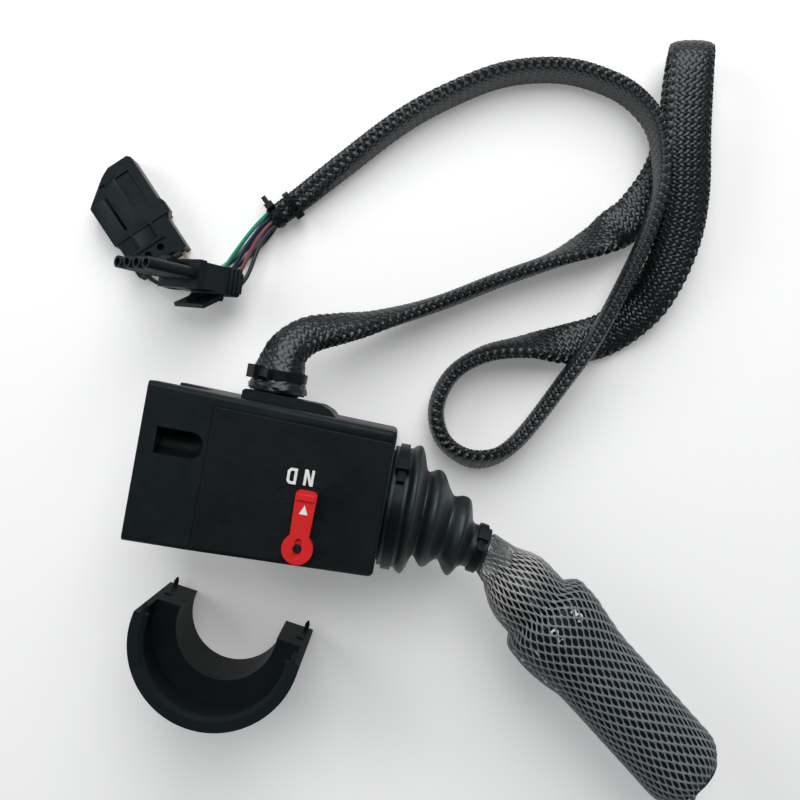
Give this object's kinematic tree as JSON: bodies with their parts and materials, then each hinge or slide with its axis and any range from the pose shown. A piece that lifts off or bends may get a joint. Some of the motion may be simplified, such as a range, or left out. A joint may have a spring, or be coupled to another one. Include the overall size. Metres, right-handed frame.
{
  "type": "gear selector lever",
  "caption": "Steering column gear selector: moulded housing with half-round column seat, bellows-sealed shift lever with twist grip, red neutral lock, flat braided lead with sealed connectors.",
  "frame": {"origin": "on the axis of the steering column, halfway along the housing and halfway through its depth", "axes": "+X from the column to the lever, +Y along the column towards the lead, +Z out of the front cover"},
  "size_m": [0.3582, 0.3765, 0.09],
  "materials": {
    "housing_black": "moulded satin",
    "cover_black": "fine grain",
    "rubber_black": "soft sheen",
    "grip_black": "satin",
    "steel": "brushed",
    "bronze": "sintered",
    "lock_red": "gloss",
    "nylon_black": "satin",
    "board_green": "lacquer",
    "electronics": "moulded",
    "sleeve_braid": "woven",
    "connector_black": "moulded satin",
    "seal_grey": "soft",
    "wire_mixed": "extruded",
    "net_clear": "translucent"
  },
  "bodies": {
    "housing": {"housing": "housing_black", "front_cover": "cover_black", "back_cover": "cover_black", "back_screws": "steel", "column_cover": "housing_black", "pivot_bracket": "steel", "bracket_screws": "steel", "pivot_pin": "steel", "pin_clips": "steel", "detent_spring": "steel", "circuit_board": "board_green", "board_parts": "electronics", "board_screws": "steel", "inner_loom": "nylon_black", "cable_plate": "housing_black", "plate_screws": "steel", "cable_boot": "rubber_black", "boot_tie": "nylon_black", "bellows": "rubber_black", "bellows_tie": "nylon_black", "lock_seal": "rubber_black", "loom_sleeve": "sleeve_braid", "loom_ties": "nylon_black", "tower_wires": "wire_mixed", "shroud_wires": "wire_mixed", "tower_body": "connector_black", "tower_seal": "seal_grey", "tower_sockets": "bronze", "shroud_body": "connector_black", "shroud_seal": "seal_grey", "shroud_pins": "bronze"},
    "lever": {"lever_yoke": "steel", "pivot_bushes": "bronze", "shift_magnet": "steel", "lever_tube": "steel", "lever_cable": "nylon_black", "neck_tie": "nylon_black", "grip_hub": "grip_black", "hub_screw": "steel", "sensor_carrier": "nylon_black", "twist_board": "board_green", "twist_spring": "steel", "grip_washer": "steel", "grip_clip": "steel"},
    "grip": {"grip_sleeve": "grip_black", "grip_cap": "grip_black", "grip_bushes": "bronze", "detent_ring": "bronze", "magnet_ring": "steel", "grip_net": "net_clear"},
    "neutral_lock": {"lock_lever": "lock_red", "lock_shaft": "steel", "lock_pawl": "steel", "lock_clip": "steel"},
    "tower_flap": {"tower_lock": "connector_black"},
    "shroud_flap": {"shroud_lock": "connector_black"}
  },
  "joints": [
    {"name": "lever_shift", "type": "hinge", "parent": "housing", "child": "lever", "pos_m": [0.088, -0.004, 0], "axis": [0, 1, 0], "range_deg": [-12, 12], "deforming": ["bellows", "detent_spring"]},
    {"name": "grip_twist", "type": "hinge", "parent": "lever", "child": "grip", "pos_m": [0.17183, -0.01803, 0], "axis": [0.788, -0.6157, 0], "range_deg": [0, 60], "deforming": ["twist_spring"]},
    {"name": "lock_swing", "type": "hinge", "parent": "housing", "child": "neutral_lock", "pos_m": [0.0826, -0.0255, 0], "axis": [0, 0, 1], "range_deg": [0, 15]},
    {"name": "tower_flap_hinge", "type": "hinge", "parent": "housing", "child": "tower_flap", "pos_m": [0.0089, 0.0818, -0.02391], "axis": [0.7656, 0.0267, 0.6428], "range_deg": [0, 90]},
    {"name": "shroud_flap_hinge", "type": "hinge", "parent": "housing", "child": "shroud_flap", "pos_m": [-0.02438, 0.10325, -0.0257], "axis": [-0.7254, -0.6884, 0], "range_deg": [0, 100]}
  ]
}
